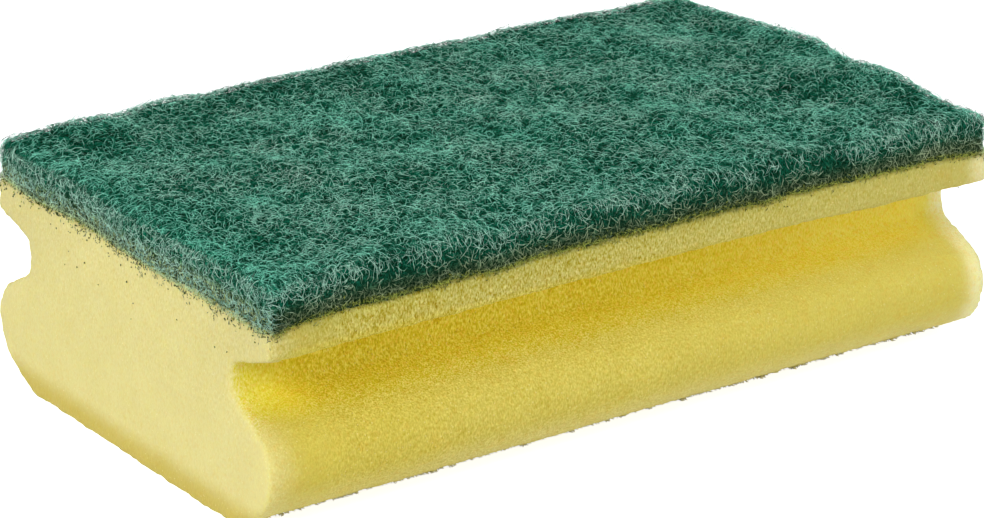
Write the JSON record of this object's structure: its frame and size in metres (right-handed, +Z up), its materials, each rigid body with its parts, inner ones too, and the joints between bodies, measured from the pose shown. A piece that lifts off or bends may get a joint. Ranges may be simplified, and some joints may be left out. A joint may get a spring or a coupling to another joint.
{
  "type": "cleaning sponge",
  "caption": "Foam cleaning sponge with a finger groove along each long side and a scouring fleece bonded flush on its top face.",
  "frame": {"origin": "middle of the base, on the surface that the sponge stands on", "axes": "+X along the length and the grooves, +Y across the width, +Z up, from the foam to the fleece"},
  "size_m": [0.15, 0.09, 0.045],
  "materials": {
    "foam": "matte",
    "fleece": "matte"
  },
  "bodies": {
    "root": {"foam_body": "foam", "scouring_fleece": "fleece"}
  },
  "joints": []
}
